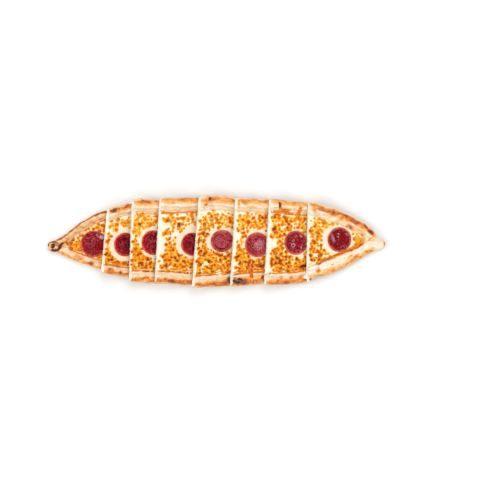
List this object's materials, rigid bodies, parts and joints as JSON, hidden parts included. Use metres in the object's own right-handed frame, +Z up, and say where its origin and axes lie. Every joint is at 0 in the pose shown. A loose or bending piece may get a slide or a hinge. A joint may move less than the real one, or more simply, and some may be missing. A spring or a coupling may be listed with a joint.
{
  "type": "sliced turkish pide",
  "caption": "Long boat-shaped flatbread with a folded crust rim and pinched tips, filled with browned cheese and rounds of sucuk, cut across into slices that lie like shingles.",
  "frame": {"origin": "middle of the bread's bounding box, on the surface it rests on", "axes": "+X along the bread, from the tip of the lowest slice to the far tip; +Y to the back rim; +Z up"},
  "size_m": [0.4911, 0.1342, 0.0329],
  "materials": {
    "dough": "baked bread crust, floury inside the fold, toasted brown outside, pale crumb on the cuts",
    "cheese": "melted cheese, cream coloured with golden and brown blisters, slightly oily",
    "sucuk": "roasted dark red sausage, wet with fat"
  },
  "bodies": {
    "root": {"dough_1": "dough", "dough_2": "dough", "dough_3": "dough", "dough_4": "dough", "dough_5": "dough", "dough_6": "dough", "dough_7": "dough", "dough_8": "dough", "cheese_1": "cheese", "cheese_2": "cheese", "cheese_3": "cheese", "cheese_4": "cheese", "cheese_5": "cheese", "cheese_6": "cheese", "cheese_7": "cheese", "cheese_8": "cheese", "sucuk_1": "sucuk", "sucuk_2": "sucuk", "sucuk_3": "sucuk", "sucuk_4": "sucuk", "sucuk_5": "sucuk", "sucuk_6": "sucuk", "sucuk_7": "sucuk", "sucuk_8": "sucuk"}
  },
  "joints": []
}
